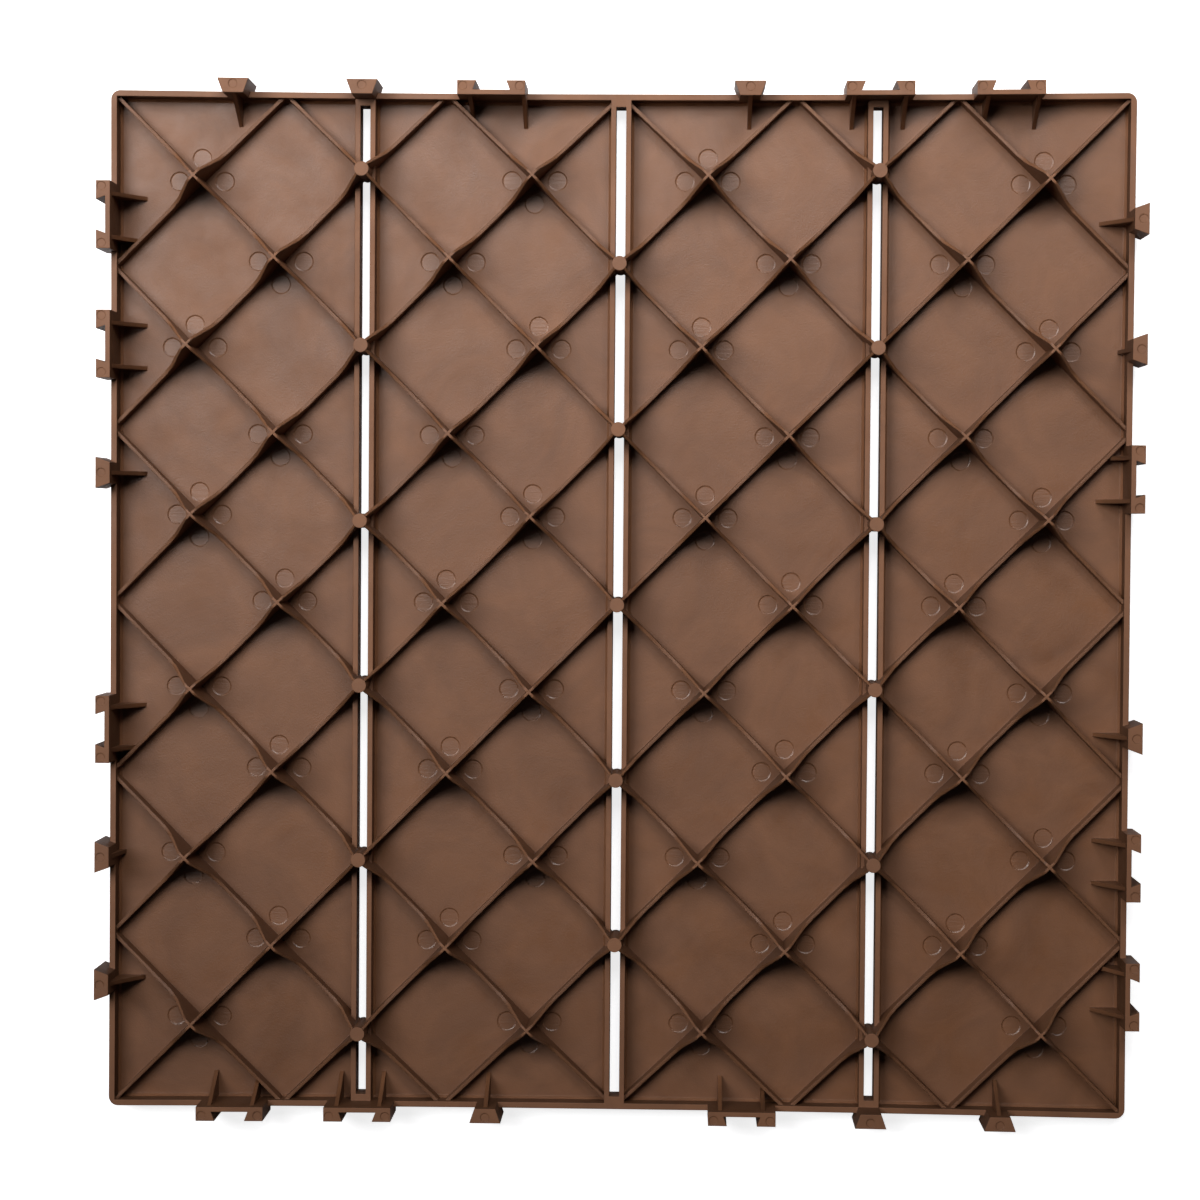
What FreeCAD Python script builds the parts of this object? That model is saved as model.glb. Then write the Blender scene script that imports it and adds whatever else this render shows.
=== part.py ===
import FreeCAD, Part
import math
import os
import Sketcher

# Interlocking deck tile, moulded in one piece, lying with its deck face down.
# Origin: middle of the deck face. +X right, +Y up the tile, +Z out of the ribbed underside.

# Driving sizes in millimetres: name, value, what it is
SIZES = [
    ("side", "300", "length of each side of the moulded square, connectors left out"),
    ("plate", "2.5", "thickness of the deck plate"),
    ("rise", "6", "height of rim and slot walls above the plate"),
    ("stand", "16", "height of feet and connectors above the plate"),
    ("rim", "1.7", "thickness of the rim wall"),
    ("corner", "2.75", "outer corner radius"),
    ("floorbevel", "0.8", "bevel where the walls meet the plate"),
    ("deckround", "1.5", "rounding of the plank edges on the deck face"),
    ("pitch", "75", "distance between the slots, one plank"),
    ("gap", "2.9", "clear width of a slot"),
    ("slotwall", "1.5", "thickness of the wall on each side of a slot"),
    ("bridge", "3.7", "material left at each end of a slot"),
    ("nearline", "51", "lattice line nearest to the middle, where it cuts an axis"),
    ("cornergap", "52", "how far short of the side length the last lattice line cuts an axis"),
    ("ribhigh", "4.4", "height of the ribs between the feet"),
    ("ribfoot", "1.15", "thickness of a rib at the plate"),
    ("ribtip", "0.75", "thickness of a rib at the foot plane"),
    ("tiphalf", "2.3", "half length of a foot at its tip"),
    ("footrun", "7.1", "length along the rib in which a foot comes down to rib height"),
    ("footreach", "13", "half length of the rib piece that carries a foot"),
    ("sweep", "2.2", "bevel that eases a foot into its rib"),
    ("tipbevel", "0.6", "bevel of a foot at its tip"),
    ("pinwide", "4.2", "diameter of a pin"),
    ("bite", "0.5", "depth by which ribs and pins start inside the plate"),
    ("tabwide", "9.1", "width of a tab at its outer end"),
    ("tabneck", "6", "width of a tab at the inside of the rim"),
    ("tabout", "2.5", "reach of a tab beyond the rim"),
    ("joint", "0.85", "clearance on each side of a tab at the back of its socket"),
    ("catch", "0.35", "how much narrower a socket's mouth is than the tab it holds"),
    ("prong", "4.45", "width of a socket's prong at the back of the socket"),
    ("short", "0.1", "how far a socket's prongs stop short of a tab's reach"),
    ("sockwall", "1.4", "thickness of the raised wall behind a socket"),
    ("gussetlong", "8", "length of a gusset on the plate"),
    ("gussetstub", "2", "length of the short gussets"),
    ("gussethigh", "13.5", "height of a gusset at the connector"),
    ("gussetthick", "1.2", "thickness of a gusset"),
    ("first", "37.5", "distance of the inner connectors from the middle of a side"),
    ("last", "112.5", "distance of the outer connectors from the middle of a side"),
    ("stay", "6.3", "distance of a gusset from the middle of its socket"),
    ("staymid", "7.5", "the same at the middle socket of the +Y side"),
    ("stayin", "9.3", "the same on the right of the inner socket of the +Y side"),
    ("stayout", "8.4", "the same on the right of the outer socket of the +Y side"),
]

doc = FreeCAD.newDocument("deck_tile")
sheet = doc.addObject("Spreadsheet::Sheet", "sizes")
for row, (name, value, note) in enumerate(SIZES, start=1):
    sheet.set("A%d" % row, name)
    sheet.set("B%d" % row, value)
    sheet.set("C%d" % row, note)
    sheet.setAlias("B%d" % row, name)
doc.recompute()


def size(name):
    """Value of one driving size."""
    return float(sheet.get(name))


# Helpers

def worked_out(text):
    """Number that an expression on the sheet gives."""
    value = sheet.evalExpression(text)
    return float(getattr(value, "Value", value))


def bind(obj, **expressions):
    """Tie properties of an object to the sheet."""
    for prop, text in expressions.items():
        obj.setExpression(prop.replace("__", "."), text)


def plane_of(body, role):
    """Origin plane of a body, found by its role."""
    for feature in body.Origin.OriginFeatures:
        if feature.Role == role:
            return feature


def new_sketch(body, name, role, offset=None):
    """Sketch on an origin plane; offset is the expression of its distance from that plane."""
    sketch = body.newObject("Sketcher::SketchObject", name)
    sketch.AttachmentSupport = [(plane_of(body, role), "")]
    sketch.MapMode = "FlatFace"
    if offset:
        sketch.setExpression("AttachmentOffset.Base.z", offset)
    doc.recompute()
    return sketch


def add_outline(sketch, corners):
    """Closed outline of straight lines through corners given as pairs of expressions."""
    places = [FreeCAD.Vector(worked_out(x), worked_out(y), 0) for x, y in corners]
    start = sketch.GeometryCount
    count = len(places)
    for i in range(count):
        sketch.addGeometry(Part.LineSegment(places[i], places[(i + 1) % count]), False)
    for i in range(count):
        sketch.addConstraint(Sketcher.Constraint("Coincident", start + i, 2, start + (i + 1) % count, 1))
    for i, (x, y) in enumerate(corners):
        for kind, value, text in (("DistanceX", places[i].x, x), ("DistanceY", places[i].y, y)):
            number = sketch.addConstraint(Sketcher.Constraint(kind, -1, 1, start + i, 1, value))
            sketch.setExpression("Constraints[%d]" % number, text)


def add_rectangle(sketch, x0, y0, x1, y1):
    """Closed rectangle between two opposite corners given as expressions."""
    add_outline(sketch, [(x0, y0), (x1, y0), (x1, y1), (x0, y1)])


def pad(body, name, sketch, length, midplane=False):
    """Pad of a sketch, its length bound to an expression."""
    feature = body.newObject("PartDesign::Pad", name)
    feature.Profile = sketch
    if midplane:
        feature.Midplane = True
    bind(feature, Length=length)
    doc.recompute()
    return feature


def pocket(body, name, sketch, length, reverse=False):
    """Pocket of a sketch, its depth bound to an expression."""
    feature = body.newObject("PartDesign::Pocket", name)
    feature.Profile = sketch
    feature.Reversed = reverse
    bind(feature, Length=length)
    doc.recompute()
    return feature


def edges_where(shape, test):
    """Names of the edges whose two ends and middle pass the test."""
    names = []
    for number, edge in enumerate(shape.Edges, start=1):
        middle = edge.valueAt((edge.FirstParameter + edge.LastParameter) / 2)
        if all(test(point) for point in [middle] + [v.Point for v in edge.Vertexes]):
            names.append("Edge%d" % number)
    return names


def round_edges(body, name, base, test, radius):
    """Fillet on the edges of the base feature that pass the test."""
    feature = body.newObject("PartDesign::Fillet", name)
    feature.Base = (base, edges_where(base.Shape, test))
    bind(feature, Radius=radius)
    doc.recompute()
    return feature


def bevel_edges(body, name, base, test, width):
    """Chamfer on the edges of the base feature that pass the test."""
    feature = body.newObject("PartDesign::Chamfer", name)
    feature.Base = (base, edges_where(base.Shape, test))
    bind(feature, Size=width)
    doc.recompute()
    return feature


def copy_of(name, source, place):
    """Linked copy of an object at another place."""
    link = doc.addObject("App::Link", name)
    link.LinkedObject = source
    link.Placement = place
    return link


def near(a, b):
    return abs(a - b) < 0.01


def upright(x, y, z, degrees):
    """Place at a point, turned about the upright axis."""
    turn = FreeCAD.Rotation(FreeCAD.Vector(0, 0, 1), degrees)
    return FreeCAD.Placement(FreeCAD.Vector(x, y, z), turn)


half = size("side") / 2
floor = size("plate")
wall_top = floor + size("rise")

# Shell: plate with rim, slot walls and slots

shell = doc.addObject("PartDesign::Body", "shell")
outline = new_sketch(shell, "tile_outline", "XY_Plane")
add_rectangle(outline, "-sizes.side / 2", "-sizes.side / 2", "sizes.side / 2", "sizes.side / 2")
block = pad(shell, "tile_block", outline, "sizes.plate + sizes.rise")
rounded = round_edges(
    shell, "outer_corners", block,
    lambda p: near(abs(p.x), half) and near(abs(p.y), half),
    "sizes.corner")

INNER = "(sizes.side / 2 - sizes.rim)"
FRAME = "(sizes.gap / 2 + sizes.slotwall)"
BAYS = [
    ("-" + INNER, "-sizes.pitch - " + FRAME),
    ("-sizes.pitch + " + FRAME, "-" + FRAME),
    (FRAME, "sizes.pitch - " + FRAME),
    ("sizes.pitch + " + FRAME, INNER),
]
bay_sketch = new_sketch(shell, "bay_outlines", "XY_Plane", "sizes.plate + sizes.rise")
for left, right in BAYS:
    add_rectangle(bay_sketch, left, "-" + INNER, right, INNER)
bays = pocket(shell, "bays", bay_sketch, "sizes.rise")

bays = bevel_edges(
    shell, "floor_bevel", bays,
    lambda p: near(p.z, floor),
    "sizes.floorbevel")

SLOT_END = "(sizes.side / 2 - sizes.bridge)"
slot_sketch = new_sketch(shell, "slot_outlines", "XY_Plane", "sizes.plate + sizes.rise")
for middle in ("-sizes.pitch", "0", "sizes.pitch"):
    add_rectangle(
        slot_sketch,
        middle + " - sizes.gap / 2", "-" + SLOT_END,
        middle + " + sizes.gap / 2", SLOT_END)
slots = pocket(shell, "slots", slot_sketch, "sizes.plate + sizes.rise")

planks = round_edges(
    shell, "plank_rounding", slots,
    lambda p: near(p.z, 0),
    "sizes.deckround")
shell.Tip = planks

# Foot: two crossed blades, thinner towards the tip

blade = doc.addObject("PartDesign::Body", "blade")
RIB_Z = "sizes.ribhigh + sizes.bite"
TIP_Z = "sizes.stand + sizes.bite"
FALL_X = "sizes.tiphalf + sizes.footrun"
blade_outline = new_sketch(blade, "blade_outline", "XZ_Plane")
add_outline(blade_outline, [
    ("-sizes.footreach", "0"),
    ("sizes.footreach", "0"),
    ("sizes.footreach", RIB_Z),
    (FALL_X, RIB_Z),
    ("sizes.tiphalf", TIP_Z),
    ("-sizes.tiphalf", TIP_Z),
    ("-(" + FALL_X + ")", RIB_Z),
    ("-sizes.footreach", RIB_Z),
])
blade_pad = pad(blade, "blade_pad", blade_outline, "2 * sizes.ribfoot", midplane=True)
rib_z = worked_out(RIB_Z)
tip_z = worked_out(TIP_Z)
fall_x = worked_out(FALL_X)
swept = bevel_edges(
    blade, "foot_sweep", blade_pad,
    lambda p: near(abs(p.x), fall_x) and near(p.z, rib_z),
    "sizes.sweep")
tipped = bevel_edges(
    blade, "foot_tip", swept,
    lambda p: near(abs(p.x), size("tiphalf")) and near(p.z, tip_z),
    "sizes.tipbevel")
blade.Tip = tipped


def drafted_bar(name, half_length, height):
    """Bar along X that starts in the plate and gets thinner upwards."""
    bar = doc.addObject("Part::Wedge", name)
    slope = "(sizes.ribfoot - sizes.ribtip) / (2 * (sizes.stand + sizes.bite))"
    top_half = "sizes.ribfoot / 2 - %s * (%s)" % (slope, height)
    bind(
        bar,
        Xmin="-(%s)" % half_length, X2min="-(%s)" % half_length,
        Xmax=half_length, X2max=half_length,
        Ymin="0", Ymax=height,
        Zmin="-sizes.ribfoot / 2", Zmax="sizes.ribfoot / 2",
        Z2min="-(%s)" % top_half, Z2max=top_half)
    bar.Placement = FreeCAD.Placement(
        FreeCAD.Vector(0, 0, 0), FreeCAD.Rotation(FreeCAD.Vector(1, 0, 0), 90))
    return bar


foot_draft = drafted_bar("foot_draft", "sizes.footreach", TIP_Z)
foot_blade = doc.addObject("Part::Common", "foot_blade")
foot_blade.Base = blade
foot_blade.Tool = foot_draft
doc.recompute()
cross_blade = copy_of("cross_blade", foot_blade, upright(0, 0, 0, 90))
foot = doc.addObject("Part::Fuse", "foot")
foot.Base = foot_blade
foot.Tool = cross_blade
doc.recompute()

# Pin: a round post that stands in a slot where two ribs cross it

pin = doc.addObject("Part::Cylinder", "pin")
bind(pin, Radius="sizes.pinwide / 2", Height=TIP_Z)

# Lattice: straight ribs in both diagonal directions, a foot at each crossing

near_line = size("nearline")
period = 2 * size("pitch")
LINES = [0]
corner_line = size("side") - size("cornergap")
for offset in (near_line, period - near_line, period, period + near_line, corner_line):
    LINES += [offset, -offset]
root2 = math.sqrt(2)
rib_end = half - size("rim") / 2
start_z = floor - size("bite")

pieces = [shell]
for line in LINES:
    name = ("rib_%s%d" % ("m" if line < 0 else "p", round(abs(line))))
    bar = drafted_bar(name, "(sizes.side - sizes.rim - %s) / 2 * %.6f" % (abs(line), root2), RIB_Z)
    along = bar.Placement
    for way, degrees in (("up", 45), ("down", -45)):
        # A line leaning one way keeps x - y, the other way x + y
        x = line / 2
        y = -line / 2 if way == "up" else line / 2
        rib = copy_of("%s_%s" % (name, way), bar, upright(x, y, start_z, degrees).multiply(along))
        pieces.append(rib)

clear = half - size("rim") - size("footreach") / root2
number = 0
for up in LINES:
    for down in LINES:
        x = (down + up) / 2
        y = (down - up) / 2
        if abs(x) > clear or abs(y) > clear:
            continue
        number += 1
        pieces.append(copy_of("foot_%d" % number, foot, upright(x, y, start_z, 45)))
        if any(near(x, middle * size("pitch")) for middle in (-1, 0, 1)):
            pieces.append(copy_of("pin_%d" % number, pin, upright(x, y, start_z, 0)))

# Connectors: dovetail tabs and sockets, drawn on the +Y side and turned to all four

tab = doc.addObject("PartDesign::Body", "tab")
tab_outline = new_sketch(tab, "tab_outline", "XY_Plane")
add_outline(tab_outline, [
    ("-sizes.tabneck / 2", "-sizes.rim"),
    ("sizes.tabneck / 2", "-sizes.rim"),
    ("sizes.tabwide / 2", "sizes.tabout"),
    ("-sizes.tabwide / 2", "sizes.tabout"),
])
tab.Tip = pad(tab, "tab_pad", tab_outline, "sizes.stand")

# A socket takes its widths and reach from the tab of the next tile
socket = doc.addObject("PartDesign::Body", "socket")
socket_outline = new_sketch(socket, "socket_outline", "XY_Plane")
BACK_X = "(sizes.tabwide / 2 + sizes.joint)"
MOUTH_X = "(sizes.tabwide - sizes.catch) / 2"
PRONG_X = "(" + BACK_X + " + sizes.prong)"
BACK_Y = "sizes.sockwall - sizes.rim"
MOUTH_Y = "sizes.tabout - sizes.short"
add_outline(socket_outline, [
    ("-" + PRONG_X, "-sizes.rim"),
    (PRONG_X, "-sizes.rim"),
    (PRONG_X, MOUTH_Y),
    (MOUTH_X, MOUTH_Y),
    (BACK_X, BACK_Y),
    ("-" + BACK_X, BACK_Y),
    ("-" + MOUTH_X, MOUTH_Y),
    ("-" + PRONG_X, MOUTH_Y),
])
socket.Tip = pad(socket, "socket_pad", socket_outline, "sizes.stand")


def gusset_body(name, length):
    """Three-cornered stay that rises from the plate to a connector."""
    body = doc.addObject("PartDesign::Body", name)
    sketch = new_sketch(body, name + "_outline", "YZ_Plane")
    inner_end = "-sizes.rim - (%s)" % length
    outer_end = "-sizes.rim / 2"
    top = "sizes.gussethigh + sizes.bite"
    add_outline(sketch, [
        (inner_end, "0"),
        (outer_end, "0"),
        (outer_end, top),
        ("-sizes.rim", top),
        (inner_end, "sizes.bite"),
    ])
    body.Tip = pad(body, name + "_pad", sketch, "sizes.gussetthick", midplane=True)
    return body


gusset = gusset_body("gusset", "sizes.gussetlong")
stub = gusset_body("gusset_stub", "sizes.gussetstub")
# Where a rib runs in front of a socket, the gusset beside it ends on that rib
inner_gusset = gusset_body(
    "gusset_inner", INNER + " - (2 * sizes.pitch - sizes.nearline) - sizes.first - sizes.stay")
outer_gusset = gusset_body(
    "gusset_outer", INNER + " - (sizes.side - sizes.cornergap) + sizes.last - sizes.stay")

first = size("first")
last = size("last")
stay = size("stay")
TABS = [-last, -size("pitch"), first]
SOCKETS = [-first, size("pitch"), last]
# On the +Y side the sockets' gussets stand unevenly: left and right distance of each
UNEVEN = {
    -first: (stay, size("stayin")),
    size("pitch"): (size("staymid"), size("staymid")),
    last: (stay, size("stayout")),
}


def on_side(turn, along, z):
    """Place on the rim, a distance along a side; turn counts the sides clockwise from +Y."""
    spin = FreeCAD.Rotation(FreeCAD.Vector(0, 0, 1), -90 * turn)
    return FreeCAD.Placement(spin.multVec(FreeCAD.Vector(along, half, z)), spin)


for turn in range(4):
    slotted_side = turn % 2 == 0
    for i, along in enumerate(TABS):
        pieces.append(copy_of("tab_%d_%d" % (turn, i), tab, on_side(turn, along, floor)))
        over_slot = near(abs(along), size("pitch"))
        if over_slot and slotted_side:
            continue
        kind = stub if over_slot else gusset
        pieces.append(copy_of("tab_gusset_%d_%d" % (turn, i), kind, on_side(turn, along, start_z)))
    for i, along in enumerate(SOCKETS):
        pieces.append(copy_of("socket_%d_%d" % (turn, i), socket, on_side(turn, along, floor)))
        left, right = UNEVEN[along] if turn == 0 else (stay, stay)
        for side, shift in (("a", -left), ("b", right)):
            name = "socket_gusset_%d_%d_%s" % (turn, i, side)
            kind = gusset
            if side == "a" and near(along, -first):
                kind = inner_gusset
            if side == "a" and near(along, last):
                kind = outer_gusset
            pieces.append(copy_of(name, kind, on_side(turn, along + shift, start_z)))

# The tile

tile = doc.addObject("Part::MultiFuse", "deck_tile")
tile.Shapes = pieces
tile.Refine = True
tile.Label = "deck_tile"
tile.Placement = FreeCAD.Placement(FreeCAD.Vector(0, 0, 0), FreeCAD.Rotation())
doc.recompute()

# Checks and export

for obj in doc.Objects:
    if "Invalid" in obj.State or "Error" in obj.State:
        raise RuntimeError("%s did not compute: %s" % (obj.Label, obj.State))
shape = tile.Shape
if shape.isNull() or not shape.isValid() or len(shape.Solids) != 1:
    raise RuntimeError("the tile is not one sound solid")

box = shape.BoundBox
print("solids", len(shape.Solids), "faces", len(shape.Faces), "volume", round(shape.Volume))
print("box", [round(v, 2) for v in (box.XMin, box.YMin, box.ZMin, box.XMax, box.YMax, box.ZMax)])
os.makedirs("parts", exist_ok=True)
shape.exportStep("parts/deck_tile.step")
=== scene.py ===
import math

import bmesh
import bpy
from mathutils import Euler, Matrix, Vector


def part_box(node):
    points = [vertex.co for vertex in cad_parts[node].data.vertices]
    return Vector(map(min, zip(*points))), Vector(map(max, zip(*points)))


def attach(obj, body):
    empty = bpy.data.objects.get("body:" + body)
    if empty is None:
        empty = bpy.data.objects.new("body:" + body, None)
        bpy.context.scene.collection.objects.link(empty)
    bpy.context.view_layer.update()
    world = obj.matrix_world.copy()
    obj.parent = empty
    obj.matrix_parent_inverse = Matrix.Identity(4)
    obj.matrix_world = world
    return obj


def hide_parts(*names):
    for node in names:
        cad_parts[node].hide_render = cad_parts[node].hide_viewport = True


# Interlocking deck tile seen from straight above, deck face down, ribbed underside up.
# Lengths are in millimetres, turned into metres by MM, unless a comment says otherwise.
MM = 0.001

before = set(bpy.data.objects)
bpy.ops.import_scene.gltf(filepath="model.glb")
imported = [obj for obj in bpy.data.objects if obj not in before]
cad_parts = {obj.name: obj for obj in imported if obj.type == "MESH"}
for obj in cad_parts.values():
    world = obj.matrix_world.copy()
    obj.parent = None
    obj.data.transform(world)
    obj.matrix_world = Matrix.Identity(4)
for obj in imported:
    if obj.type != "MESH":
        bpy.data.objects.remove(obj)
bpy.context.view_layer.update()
tile_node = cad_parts["deck_tile"]
_, node_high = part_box("deck_tile")

# Sizes that the moulding shares with the frame
TOP = node_high.z / MM
STAND = 16.0
PLATE_TOP = TOP - STAND
SIDE = 300.0
HALF = SIDE / 2
RIM_WIDE = 4.0
PITCH = 75.0
NEAR_LINE = 51.0
CORNER_LINE = 248.0
CONNECTOR_OUT = node_high.y / MM - HALF
# Crossings nearer to the sides than this carry no foot
FOOT_FROM_SIDE = 12
# A crossing this close to a slot's middle lies on the slot
ON_SLOT = 1.0

# Ejector marks: shallow round dents beside each foot, with a steep edge and a dished one inside it
MARK_RADIUS = 2.85
MARK_EDGE = 0.11
MARK_DEPTH = 0.26
MARK_SLOPE = 2.3
MARK_AWAY = 6.73
MARK_SEGMENTS = 40
# Where marks change sides: columns of feet by their distance from the tile's middle, rows by y
OUTER_COLUMN = 110
MIDDLE_COLUMN = 35
TOP_ROW = 110
MIDDLE_ROW = 35
SHORT_ROW_TURN = 10
LOW_ROW_FROM = -100
LOW_ROW_TO = -50
# Smaller marks on the tops of tabs and sockets
STUD_RADIUS = 1.35
STUD_DEPTH = 0.2
STUD_SLOPE = 0.9
STUD_SEGMENTS = 28
STUD_FROM_TIP = 1.65
STUD_FROM_SIDE = 1.6
SOCKET_WIDE = 19.7
TABS = [-112.5, -75.0, 37.5]
SOCKETS = [-37.5, 75.0, 112.5]
# How far the plugs that cut marks stand out of the surface
PLUG_OUT = 0.1
# The moulding is drawn in a little along its sides, most in the middle of the upper and lower one
BOW_Y = 0.9
BOW_X = 0.25
BOW_FROM = 133.0
BOW_TO = 146.0

# Mesh: points closer than MERGE are one; edges turn sharp from these angles, in degrees
MERGE = 0.002
SHARP_ANGLE = 34
MARK_SHARP_ANGLE = 8
# How far below and above a mark an edge still belongs to it
MARK_MARGIN = 0.05

# Which faces get which finish: first the height that the deck face's reaches up to, as a share of
# the plate; then heights above the plate's ribbed side, and depths as shares of a mark's depth
DECK_SHARE = 0.65
TOPS_ABOVE = 5.5
RIBS_ABOVE = 3
SIDES_ABOVE = 0.2
MARK_SHARE_LOW = 1.5
MARK_SHARE_HIGH = 0.1
# Least upward part of a face's normal for a mark's flat floor, for tops, ribs and marks
FLAT_UP = 0.99
TOPS_UP = 0.9
RIBS_UP = 0.5
MARKS_UP = 0.3
# The deck face's points down past this, and a steep side's stays within this, up or down
DECK_DOWN = -0.2
STEEP = 0.4
# The rim's inner side faces the tile's middle past this share of half a side
INWARD = -0.5

# Plastic: its brown between two tones, and its noises in features per metre
BROWN_DARK = (0.159, 0.0668, 0.0305)
BROWN_LIGHT = (0.218, 0.0928, 0.0415)
PLASTIC_IOR = 1.49
TONE_SCALE = 38
SHEEN_SCALE = 75
WAVES_SCALE = 85
FINE_SCALE = 2200
GRAIN_SCALE = 60
GRAIN_STRETCH = (9, 1, 1)
LINES_SCALE = 500
LINES_STRETCH = (0.25, 3, 1)
# Bumps: strength and height
FINE_BUMP = (0.8, 0.08)
WAVES_BUMP = (0.5, 0.3)
GRAIN_BUMP = (0.9, 0.6)
LINES_BUMP = (0.5, 0.15)
BEVEL_SAMPLES = 4
# The part of a noise's range that is carried over to tones and roughness
NOISE_LOW = 0.3
NOISE_HIGH = 0.7

# Stage, in metres: a pale floor just under the tile, which glows for the camera alone
FLOOR_HALF = 6.0
FLOOR_Z = -0.0002
FLOOR_COLOUR = (0.93, 0.93, 0.95, 1)
FLOOR_ROUGH = 0.9
FLOOR_GLOSS = 0.1
FLOOR_GLOW = 0.8
WORLD_COLOUR = (0.95, 0.97, 1.0, 1)
WORLD_STRENGTH = 0.02

# Camera, worked out from the lattice in the photograph; its turn is in degrees
CAMERA_PLACE = (18.5, 23.9, 810.9)
CAMERA_TURN = (-1.552, 1.635, 0.418)
LENS = 82.0
SENSOR = 36
PRINCIPAL_PX = (603.3, 597.4)
PHOTO_PX = 1200
# Nearest and farthest distance that the camera sees, in metres
CLIP = (0.05, 20)


# Helpers

def new_object(name, bm):
    """Object made of a bmesh, linked to the scene."""
    mesh = bpy.data.meshes.new(name)
    bm.to_mesh(mesh)
    bm.free()
    obj = bpy.data.objects.new(name, mesh)
    bpy.context.scene.collection.objects.link(obj)
    return obj


def add_stud(bm, x, y):
    """Upright round plug that cuts a small mark into a connector's top; it gets wider upwards."""
    low = TOP - STUD_DEPTH
    high = TOP + PLUG_OUT
    low_radius = STUD_RADIUS - STUD_SLOPE * STUD_DEPTH
    high_radius = low_radius + STUD_SLOPE * (high - low)
    made = bmesh.ops.create_cone(
        bm, cap_ends=True, segments=STUD_SEGMENTS,
        radius1=low_radius * MM, radius2=high_radius * MM, depth=(high - low) * MM)
    middle = Vector((x, y, (low + high) / 2)) * MM
    bmesh.ops.translate(bm, verts=made["verts"], vec=middle)


def add_dish(bm, x, y):
    """Plug for an ejector mark: a flat floor, a dished edge around it and a steep one above."""
    inner = MARK_RADIUS - MARK_SLOPE * (MARK_DEPTH - MARK_EDGE)
    levels = (
        (inner, PLATE_TOP - MARK_DEPTH),
        (MARK_RADIUS, PLATE_TOP - MARK_EDGE),
        (MARK_RADIUS, PLATE_TOP + PLUG_OUT))
    rings = []
    for radius, z in levels:
        ring = []
        for k in range(MARK_SEGMENTS):
            angle = 2 * math.pi * k / MARK_SEGMENTS
            place = Vector((x + radius * math.cos(angle), y + radius * math.sin(angle), z))
            ring.append(bm.verts.new(place * MM))
        rings.append(ring)
    for below, above in zip(rings, rings[1:]):
        for k in range(MARK_SEGMENTS):
            after = (k + 1) % MARK_SEGMENTS
            bm.faces.new((below[k], below[after], above[after], above[k]))
    bm.faces.new(list(reversed(rings[0])))
    bm.faces.new(rings[-1])


def bowed(x, y):
    """Where a point of the straight moulding lies on the slightly drawn-in one."""
    share_y = min(max((abs(y) - BOW_FROM) / (BOW_TO - BOW_FROM), 0), 1)
    share_x = min(max((abs(x) - BOW_FROM) / (BOW_TO - BOW_FROM), 0), 1)
    in_y = BOW_Y * share_y * max(1 - (x / HALF) ** 2, 0)
    in_x = BOW_X * share_x * max(1 - (y / HALF) ** 2, 0)
    return x - math.copysign(in_x, x), y - math.copysign(in_y, y)


def lattice():
    """Places of all crossings of the diagonal ribs, off and on the slots."""
    period = 2 * PITCH
    lines = [0.0]
    for k in (NEAR_LINE, period - NEAR_LINE, period, period + NEAR_LINE, CORNER_LINE):
        lines += [k, -k]
    for up in lines:
        for down in lines:
            x = (down + up) / 2
            y = (down - up) / 2
            if max(abs(x), abs(y)) < HALF - FOOT_FROM_SIDE:
                yield x, y


def on_slot(x):
    return abs(x - PITCH * round(x / PITCH)) < ON_SLOT


def mark_places():
    """Centres of the ejector marks: left and right of each foot, and above or below it."""
    for x, y in lattice():
        if on_slot(x):
            continue
        yield x - MARK_AWAY, y
        yield x + MARK_AWAY, y
        column = abs(x)
        long_row = column > OUTER_COLUMN or column < MIDDLE_COLUMN
        if long_row:
            above = y > 0
            # The column left of the middle slot has its first mark below, as the photograph shows
            if -MIDDLE_COLUMN < x < 0 and y > TOP_ROW:
                above = False
            # One row of the column on the right has it above
            if x > OUTER_COLUMN and LOW_ROW_FROM < y < LOW_ROW_TO:
                above = True
            yield x, y + (MARK_AWAY if above else -MARK_AWAY)
            if 0 < y < MIDDLE_ROW:
                yield x, y - MARK_AWAY
        else:
            above = y < SHORT_ROW_TURN
            yield x, y + (MARK_AWAY if above else -MARK_AWAY)


def turned(along, out, turn):
    """Point near the edge of one side; turn counts the sides clockwise from +Y."""
    angle = -math.pi / 2 * turn
    y = HALF + out
    return (along * math.cos(angle) - y * math.sin(angle),
            along * math.sin(angle) + y * math.cos(angle))


def stud_places():
    """Centres of the small round marks on the connectors."""
    for turn in range(4):
        for along in TABS:
            yield turned(along, CONNECTOR_OUT - STUD_FROM_TIP, turn)
        for along in SOCKETS:
            for side in (-1, 1):
                shift = side * (SOCKET_WIDE / 2 - STUD_FROM_SIDE)
                yield turned(along + shift, CONNECTOR_OUT - STUD_FROM_TIP, turn)


# The moulding: the frame's solid with its marks cut in

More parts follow.
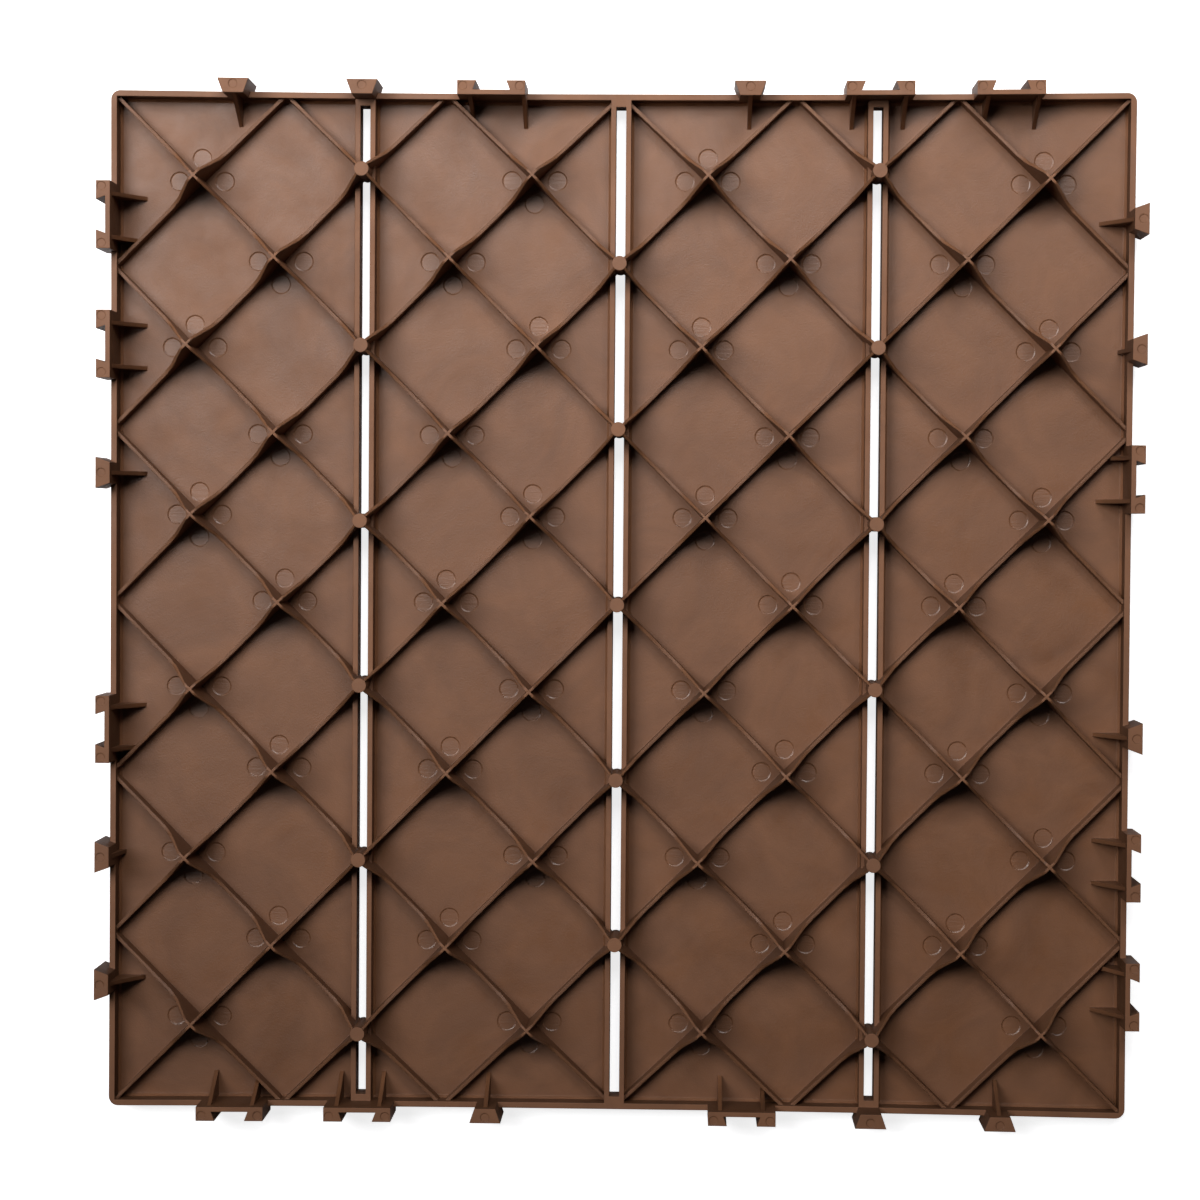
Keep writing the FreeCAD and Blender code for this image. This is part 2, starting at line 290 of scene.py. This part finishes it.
def make_moulding():
    bm = bmesh.new()
    bm.from_mesh(tile_node.data)
    bmesh.ops.remove_doubles(bm, verts=bm.verts, dist=MERGE * MM)
    for vertex in bm.verts:
        x, y = bowed(vertex.co.x / MM, vertex.co.y / MM)
        vertex.co.x = x * MM
        vertex.co.y = y * MM
    tile = new_object("tile_moulding", bm)
    # The frame's mesh brings its own shading normals, which the cut mesh must not keep
    for name in ("custom_normal", "sharp_edge", "sharp_face"):
        if name in tile.data.attributes:
            tile.data.attributes.remove(tile.data.attributes[name])

    cutters = bmesh.new()
    for x, y in mark_places():
        add_dish(cutters, x, y)
    for place in stud_places():
        add_stud(cutters, *bowed(*place))
    cutter = new_object("mark_cutters", cutters)

    cut = tile.modifiers.new("marks", "BOOLEAN")
    cut.operation = "DIFFERENCE"
    cut.solver = "EXACT"
    cut.object = cutter
    bpy.context.view_layer.update()
    evaluated = tile.evaluated_get(bpy.context.evaluated_depsgraph_get())
    tile.data = bpy.data.meshes.new_from_object(evaluated)
    tile.modifiers.clear()
    bpy.data.objects.remove(cutter)
    tile.data.name = "tile_moulding"
    for polygon in tile.data.polygons:
        polygon.use_smooth = True
    tile.data.set_sharp_from_angle(angle=math.radians(SHARP_ANGLE))
    keep_marks_crisp(tile.data)
    return tile


def keep_marks_crisp(mesh):
    """Make the rims of marks sharp: their dished edge is flat enough to shade into the plate."""
    lowest = PLATE_TOP - MARK_DEPTH - MARK_MARGIN
    highest = PLATE_TOP + MARK_MARGIN
    bm = bmesh.new()
    bm.from_mesh(mesh)
    for edge in bm.edges:
        heights = [vertex.co.z / MM for vertex in edge.verts]
        if min(heights) <= lowest or max(heights) >= highest or len(edge.link_faces) != 2:
            continue
        if edge.calc_face_angle() > math.radians(MARK_SHARP_ANGLE):
            edge.smooth = False
    bm.to_mesh(mesh)
    bm.free()


# Materials

class Nodes:
    """Small helper that wires a node material."""

    def __init__(self, name):
        self.material = bpy.data.materials.new(name)
        self.material.use_nodes = True
        self.tree = self.material.node_tree
        self.shader = self.tree.nodes["Principled BSDF"]

    def add(self, kind, **inputs):
        """New node with these numbers or colours on its sockets."""
        node = self.tree.nodes.new(kind)
        for key, value in inputs.items():
            node.inputs[key].default_value = value
        return node

    def link(self, a, b):
        self.tree.links.new(a, b)

    def noise(self, where, scale, detail, rough=0.5, stretch=None, swirl=0.0):
        """Noise on the object's own coordinates, scale in features per metre."""
        if stretch:
            mapping = self.add("ShaderNodeMapping", Scale=stretch)
            self.link(where, mapping.inputs["Vector"])
            where = mapping.outputs["Vector"]
        node = self.add(
            "ShaderNodeTexNoise", Scale=scale, Detail=detail, Roughness=rough, Distortion=swirl)
        self.link(where, node.inputs["Vector"])
        return node.outputs["Fac"]

    def spread(self, value, low, high):
        """A noise's value carried over to the range from low to high."""
        node = self.tree.nodes.new("ShaderNodeMapRange")
        node.inputs["From Min"].default_value = NOISE_LOW
        node.inputs["From Max"].default_value = NOISE_HIGH
        node.inputs["To Min"].default_value = low
        node.inputs["To Max"].default_value = high
        self.link(value, node.inputs["Value"])
        return node.outputs["Result"]

    def mixed(self, factor, first, second):
        """Colour between two, by a factor."""
        node = self.tree.nodes.new("ShaderNodeMix")
        node.data_type = "RGBA"
        node.inputs["A"].default_value = (*first, 1)
        node.inputs["B"].default_value = (*second, 1)
        self.link(factor, node.inputs["Factor"])
        return node.outputs["Result"]

    def bump(self, height, bump, normal):
        """Normal bent by a height; bump is its strength and its full height."""
        strength, distance = bump
        node = self.add("ShaderNodeBump", Strength=strength, Distance=distance * MM)
        self.link(height, node.inputs["Height"])
        self.link(normal, node.inputs["Normal"])
        return node.outputs["Normal"]


def tinted(colour, factor):
    return tuple(channel * factor for channel in colour)


def plastic(name, tint=1.0, rough=(0.42, 0.58), gloss=0.5, edge=0.3, grain=False, streaky=False):
    """Satin brown polypropylene.

    tint lightens or darkens its brown: on the tops it is painted light, on ribs and steep sides
    painted shade; rough is its range of roughness, gloss its specular level and edge the radius
    of its softened edges; grain adds the pressed wood grain of the deck face, streaky the fine
    lines that a machined ejector pin leaves.
    """
    m = Nodes(name)
    where = m.tree.nodes.new("ShaderNodeTexCoord").outputs["Object"]
    if grain:
        tone = m.noise(where, GRAIN_SCALE, detail=6, rough=0.6, stretch=GRAIN_STRETCH)
    else:
        tone = m.noise(where, TONE_SCALE, detail=6, rough=0.65, swirl=1.2)
    brown = m.mixed(m.spread(tone, 0, 1), tinted(BROWN_DARK, tint), tinted(BROWN_LIGHT, tint))
    m.link(brown, m.shader.inputs["Base Color"])
    sheen = m.noise(where, SHEEN_SCALE, detail=4, rough=0.6)
    m.link(m.spread(sheen, *rough), m.shader.inputs["Roughness"])
    m.shader.inputs["IOR"].default_value = PLASTIC_IOR
    m.shader.inputs["Specular IOR Level"].default_value = gloss

    soft = m.add("ShaderNodeBevel", Radius=edge * MM)
    soft.samples = BEVEL_SAMPLES
    fine = m.noise(where, FINE_SCALE, detail=3, rough=0.6)
    normal = m.bump(fine, FINE_BUMP, soft.outputs["Normal"])
    waves = m.noise(where, WAVES_SCALE, detail=2)
    normal = m.bump(waves, WAVES_BUMP, normal)
    if grain:
        normal = m.bump(tone, GRAIN_BUMP, normal)
    if streaky:
        lines = m.noise(where, LINES_SCALE, detail=3, rough=0.6, stretch=LINES_STRETCH)
        normal = m.bump(lines, LINES_BUMP, normal)
    m.link(normal, m.shader.inputs["Normal"])
    return m.material


def make_finishes():
    """The finishes of the moulding, in the order of its material slots."""
    return {
        "plate": plastic("brown_plastic", rough=(0.38, 0.6)),
        "deck": plastic("brown_deck_grain", grain=True),
        # Tops: the rougher, less glossy finish is the plastic's own; their lighter brown is
        # painted light
        "painted_light_tops": plastic("brown_tops_painted_light", tint=1.1, rough=(0.55, 0.7), edge=0.35),
        # Rib tops: their darker brown is painted shade
        "painted_shade_ribs": plastic("brown_ribs_painted_shade", tint=0.85, rough=(0.5, 0.62), gloss=0.4, edge=0.5),
        "marks": plastic(
            "brown_marks", tint=1.03, rough=(0.38, 0.48), gloss=0.65, edge=0.1, streaky=True),
        # Steep sides: their darker brown is painted shade
        "painted_shade_sides": plastic("brown_sides_painted_shade", tint=0.72, rough=(0.45, 0.6), gloss=0.35),
        "mark_edges": plastic("brown_mark_edges", rough=(0.3, 0.38), gloss=0.65, edge=0.1),
        # Inner side of the rim: its still darker brown is painted shade
        "painted_shade_rim_inside": plastic("brown_rim_inside_painted_shade", tint=0.52, rough=(0.45, 0.6), gloss=0.3),
    }


def inside_rim(polygon):
    """True for a side of the rim that faces the tile's middle."""
    x, y = polygon.center.x, polygon.center.y
    at_rim = max(abs(x), abs(y)) > (HALF - RIM_WIDE) * MM
    return at_rim and polygon.normal.x * x + polygon.normal.y * y < INWARD * HALF * MM


def finish_of(polygon):
    """Which finish a face gets, by its height and by how far it faces up."""
    height = polygon.center.z / MM
    up = polygon.normal.z
    mark_low = PLATE_TOP - MARK_SHARE_LOW * MARK_DEPTH
    mark_high = PLATE_TOP - MARK_SHARE_HIGH * MARK_DEPTH
    if height < DECK_SHARE * PLATE_TOP and up < DECK_DOWN:
        return "deck"
    # Raised tops get the lighter brown of painted light
    if height > PLATE_TOP + TOPS_ABOVE and up > TOPS_UP:
        return "painted_light_tops"
    # Rib tops get a darker brown, painted shade
    if height > PLATE_TOP + RIBS_ABOVE and up > RIBS_UP:
        return "painted_shade_ribs"
    if mark_low < height < mark_high and up > MARKS_UP:
        return "marks" if up > FLAT_UP else "mark_edges"
    # Steep sides get a darker brown of painted shade, the rim's inner side the darkest
    if height > PLATE_TOP + SIDES_ABOVE and abs(up) < STEEP:
        return "painted_shade_rim_inside" if inside_rim(polygon) else "painted_shade_sides"
    return "plate"


def dress(tile):
    """Give each face its finish: plate, deck face, marks, tops in painted light, ribs and steep
    sides in painted shade.
    """
    finishes = make_finishes()
    slots = list(finishes)
    tile.data.materials.clear()
    for material in finishes.values():
        tile.data.materials.append(material)
    for polygon in tile.data.polygons:
        polygon.material_index = slots.index(finish_of(polygon))


# Stage

def make_floor():
    """Pale floor; the glow makes it white to the camera and lights nothing."""
    bm = bmesh.new()
    bmesh.ops.create_grid(bm, x_segments=1, y_segments=1, size=FLOOR_HALF)
    floor = new_object("floor", bm)
    floor.location.z = FLOOR_Z
    m = Nodes("pale_floor")
    m.shader.inputs["Base Color"].default_value = FLOOR_COLOUR
    m.shader.inputs["Roughness"].default_value = FLOOR_ROUGH
    m.shader.inputs["Specular IOR Level"].default_value = FLOOR_GLOSS
    path = m.tree.nodes.new("ShaderNodeLightPath")
    glow = m.add("ShaderNodeEmission", Color=(1, 1, 1, 1), Strength=FLOOR_GLOW)
    both = m.tree.nodes.new("ShaderNodeAddShader")
    pick = m.tree.nodes.new("ShaderNodeMixShader")
    m.link(m.shader.outputs[0], both.inputs[0])
    m.link(glow.outputs[0], both.inputs[1])
    m.link(path.outputs["Is Camera Ray"], pick.inputs["Fac"])
    m.link(m.shader.outputs[0], pick.inputs[1])
    m.link(both.outputs[0], pick.inputs[2])
    m.link(pick.outputs[0], m.tree.nodes["Material Output"].inputs["Surface"])
    floor.data.materials.append(m.material)


def make_world():
    world = bpy.data.worlds.new("studio")
    bpy.context.scene.world = world
    world.use_nodes = True
    background = world.node_tree.nodes["Background"]
    background.inputs["Color"].default_value = WORLD_COLOUR
    background.inputs["Strength"].default_value = WORLD_STRENGTH


def area_light(name, place, aim, size, spread, watts):
    """Soft rectangular lamp; place, aim and size are in metres, spread in degrees."""
    data = bpy.data.lights.new(name, "AREA")
    data.shape = "RECTANGLE"
    data.size = size[0]
    data.size_y = size[1]
    data.spread = math.radians(spread)
    data.energy = watts
    light = bpy.data.objects.new(name, data)
    light.location = place
    light.rotation_euler = (Vector(aim) - Vector(place)).to_track_quat("-Z", "Y").to_euler()
    bpy.context.scene.collection.objects.link(light)


def make_lamps():
    """Three soft lamps over the upper side, fitted to the shadows beside walls and feet."""
    area_light(
        "key", place=(-0.66, 0.58, 1.1), aim=(-0.06, 0.52, 0),
        size=(0.9, 0.85), spread=72, watts=4.5)
    area_light(
        "fill", place=(0.22, 0.9, 0.9), aim=(0, 0.48, 0),
        size=(0.65, 0.55), spread=62, watts=1.68)
    area_light(
        "top", place=(0.02, 0.5, 1.1), aim=(0, 0.25, 0),
        size=(0.3, 0.25), spread=78, watts=0.5)


def make_camera():
    data = bpy.data.cameras.new("camera")
    camera = bpy.data.objects.new("camera", data)
    bpy.context.scene.collection.objects.link(camera)
    data.sensor_width = SENSOR
    data.lens = LENS
    data.shift_x = -(PRINCIPAL_PX[0] - PHOTO_PX / 2) / PHOTO_PX
    data.shift_y = (PRINCIPAL_PX[1] - PHOTO_PX / 2) / PHOTO_PX
    data.clip_start, data.clip_end = CLIP
    camera.location = Vector(CAMERA_PLACE) * MM
    camera.rotation_euler = Euler([math.radians(a) for a in CAMERA_TURN], "XYZ")
    bpy.context.scene.camera = camera


moulding = make_moulding()
dress(moulding)
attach(moulding, "root")
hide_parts("deck_tile")

make_floor()
make_world()
make_lamps()
make_camera()

scene = bpy.context.scene
scene.view_settings.view_transform = "Standard"
